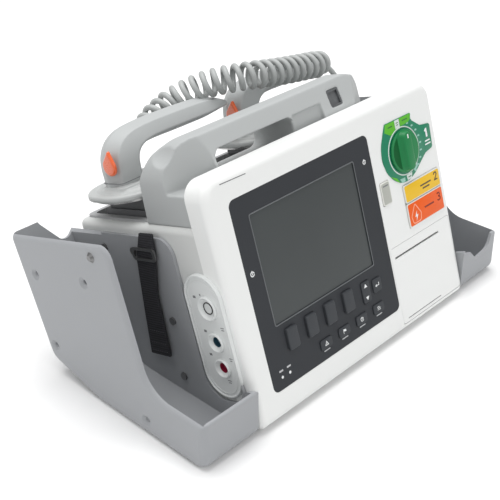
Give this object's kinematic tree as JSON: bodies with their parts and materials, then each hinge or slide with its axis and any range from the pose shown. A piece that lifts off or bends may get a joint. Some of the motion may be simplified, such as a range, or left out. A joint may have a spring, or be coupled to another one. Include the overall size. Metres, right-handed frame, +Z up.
{
  "type": "monitor defibrillator",
  "caption": "Manual monitor-defibrillator with a leaning case, carry handle, side bins, a therapy dial and hand paddles on a curly cord.",
  "frame": {"origin": "centre of the base, on the surface that the case stands on", "axes": "+Z up, +X to the right seen from the front, +Y from the screen towards the back"},
  "size_m": [0.4304, 0.2466, 0.2437],
  "materials": {
    "housing_white": "satin",
    "housing_grey": "matte",
    "bin_grey": "matte",
    "bezel_dark": "satin",
    "screen_glass": "polished",
    "dark_plastic": "matte",
    "label_teal": "satin",
    "knob_green": "satin",
    "charge_yellow": "satin",
    "shock_orange": "satin",
    "sync_grey": "satin",
    "connector_white": "satin",
    "socket_blue": "satin",
    "steel": "brushed",
    "frame_metal": "satin",
    "webbing": "woven",
    "cord_grey": "matte",
    "circuit_green": "satin",
    "rubber_black": "matte",
    "paper_white": "matte",
    "window_glass": "polished"
  },
  "bodies": {
    "case": {"front_housing": "housing_white", "rear_housing": "housing_grey", "carry_handle": "housing_grey", "control_board": "circuit_green", "ready_window": "window_glass", "left_bin": "bin_grey", "right_bin": "bin_grey", "bin_fasteners": "steel", "rubber_feet": "rubber_black", "display_bezel": "bezel_dark", "display_glass": "screen_glass", "display_module": "frame_metal", "dial_plate": "label_teal", "selector_switch": "dark_plastic", "printer_frame": "dark_plastic", "print_head": "frame_metal", "drive_motor": "frame_metal", "ecg_socket": "connector_white", "sensor_sockets": "socket_blue", "connector_panel": "connector_white", "therapy_socket": "dark_plastic", "therapy_plug": "dark_plastic", "strap": "webbing", "strap_ring": "steel", "paddle_tray": "dark_plastic", "paddle_docks": "dark_plastic", "cord_drop": "cord_grey", "chassis": "frame_metal", "main_board": "circuit_green", "storage_capacitor": "frame_metal", "speaker": "dark_plastic", "power_inlet": "dark_plastic"},
    "therapy_knob": {"therapy_knob": "knob_green"},
    "charge_button": {"charge_button": "charge_yellow"},
    "shock_button": {"shock_button": "shock_orange"},
    "sync_button": {"sync_button": "sync_grey"},
    "select_key": {"select_key": "bezel_dark"},
    "arrow_rocker": {"arrow_rocker": "bezel_dark"},
    "printer_door": {"printer_door": "housing_white"},
    "platen_roller": {"platen_roller": "rubber_black"},
    "paper_roll": {"paper_roll": "paper_white"},
    "battery": {"battery": "dark_plastic"},
    "soft_key_1": {"soft_key_1": "bezel_dark"},
    "soft_key_2": {"soft_key_2": "bezel_dark"},
    "soft_key_3": {"soft_key_3": "bezel_dark"},
    "soft_key_4": {"soft_key_4": "bezel_dark"},
    "function_key_1": {"function_key_1": "bezel_dark"},
    "function_key_2": {"function_key_2": "bezel_dark"},
    "function_key_3": {"function_key_3": "bezel_dark"},
    "function_key_4": {"function_key_4": "bezel_dark"},
    "paddle_left": {"paddle_left_base": "housing_grey", "paddle_left_electrode": "steel", "paddle_left_grip": "housing_grey", "cord_gland": "cord_grey", "cord_coil": "cord_grey"},
    "paddle_left_button": {"paddle_left_button": "shock_orange"},
    "paddle_right": {"paddle_right_base": "housing_grey", "paddle_right_electrode": "steel", "paddle_right_grip": "housing_grey"},
    "paddle_right_button": {"paddle_right_button": "shock_orange"}
  },
  "joints": [
    {"name": "knob_turn", "type": "hinge", "parent": "case", "child": "therapy_knob", "pos_m": [0.095, -0.07931, 0.16615], "axis": [0, 0.9563, -0.2924], "range_deg": [-60, 240]},
    {"name": "charge_button_press", "type": "slide", "parent": "case", "child": "charge_button", "axis": [0, 0.9563, -0.2924], "range_m": [0, 0.0015], "stiffness_N_per_m": 500},
    {"name": "shock_button_press", "type": "slide", "parent": "case", "child": "shock_button", "axis": [0, 0.9563, -0.2924], "range_m": [0, 0.0015], "stiffness_N_per_m": 500},
    {"name": "sync_button_press", "type": "slide", "parent": "case", "child": "sync_button", "axis": [0, 0.9563, -0.2924], "range_m": [0, 0.0015], "stiffness_N_per_m": 500},
    {"name": "soft_key_1_press", "type": "slide", "parent": "case", "child": "soft_key_1", "axis": [0, 0.9563, -0.2924], "range_m": [0, 0.0008], "stiffness_N_per_m": 300},
    {"name": "soft_key_2_press", "type": "slide", "parent": "case", "child": "soft_key_2", "axis": [0, 0.9563, -0.2924], "range_m": [0, 0.0008], "stiffness_N_per_m": 300},
    {"name": "soft_key_3_press", "type": "slide", "parent": "case", "child": "soft_key_3", "axis": [0, 0.9563, -0.2924], "range_m": [0, 0.0008], "stiffness_N_per_m": 300},
    {"name": "soft_key_4_press", "type": "slide", "parent": "case", "child": "soft_key_4", "axis": [0, 0.9563, -0.2924], "range_m": [0, 0.0008], "stiffness_N_per_m": 300},
    {"name": "function_key_1_press", "type": "slide", "parent": "case", "child": "function_key_1", "axis": [0, 0.9563, -0.2924], "range_m": [0, 0.0008], "stiffness_N_per_m": 300},
    {"name": "function_key_2_press", "type": "slide", "parent": "case", "child": "function_key_2", "axis": [0, 0.9563, -0.2924], "range_m": [0, 0.0008], "stiffness_N_per_m": 300},
    {"name": "function_key_3_press", "type": "slide", "parent": "case", "child": "function_key_3", "axis": [0, 0.9563, -0.2924], "range_m": [0, 0.0008], "stiffness_N_per_m": 300},
    {"name": "function_key_4_press", "type": "slide", "parent": "case", "child": "function_key_4", "axis": [0, 0.9563, -0.2924], "range_m": [0, 0.0008], "stiffness_N_per_m": 300},
    {"name": "select_key_press", "type": "slide", "parent": "case", "child": "select_key", "axis": [0, 0.9563, -0.2924], "range_m": [0, 0.0008], "stiffness_N_per_m": 300},
    {"name": "arrow_rocker_tilt", "type": "hinge", "parent": "case", "child": "arrow_rocker", "pos_m": [0.0065, -0.10342, 0.06268], "axis": [1, 0, 0], "range_deg": [-3, 3], "stiffness_Nm_per_rad": 0.15},
    {"name": "printer_door_swing", "type": "hinge", "parent": "case", "child": "printer_door", "pos_m": [0.0975, -0.11737, 0.01362], "axis": [1, 0, 0], "range_deg": [0, 60]},
    {"name": "paper_roll_spin", "type": "hinge", "parent": "case", "child": "paper_roll", "pos_m": [0.0975, -0.0815, 0.03245], "axis": [1, 0, 0], "continuous": true},
    {"name": "platen_spin", "type": "hinge", "parent": "printer_door", "child": "platen_roller", "pos_m": [0.0975, -0.09732, 0.06552], "axis": [1, 0, 0], "continuous": true},
    {"name": "battery_slide", "type": "slide", "parent": "case", "child": "battery", "axis": [0, 0.9563, -0.2924], "range_m": [0, 0.1]},
    {"name": "paddle_left_lift", "type": "slide", "parent": "case", "child": "paddle_left", "axis": [0, 0.2924, 0.9563], "range_m": [0, 0.08], "deforming": ["cord_drop"]},
    {"name": "paddle_right_lift", "type": "slide", "parent": "case", "child": "paddle_right", "axis": [0, 0.2924, 0.9563], "range_m": [0, 0.08]},
    {"name": "paddle_left_button_press", "type": "slide", "parent": "paddle_left", "child": "paddle_left_button", "axis": [1, 0, 0], "range_m": [0, 0.0015], "stiffness_N_per_m": 300},
    {"name": "paddle_right_button_press", "type": "slide", "parent": "paddle_right", "child": "paddle_right_button", "axis": [1, 0, 0], "range_m": [0, 0.0015], "stiffness_N_per_m": 300}
  ],
  "couplings": [
    {"joint": "platen_spin", "follows": "paper_roll_spin", "ratio": -3.8},
    {"joint": "paddle_right_lift", "follows": "paddle_left_lift", "ratio": 1}
  ]
}
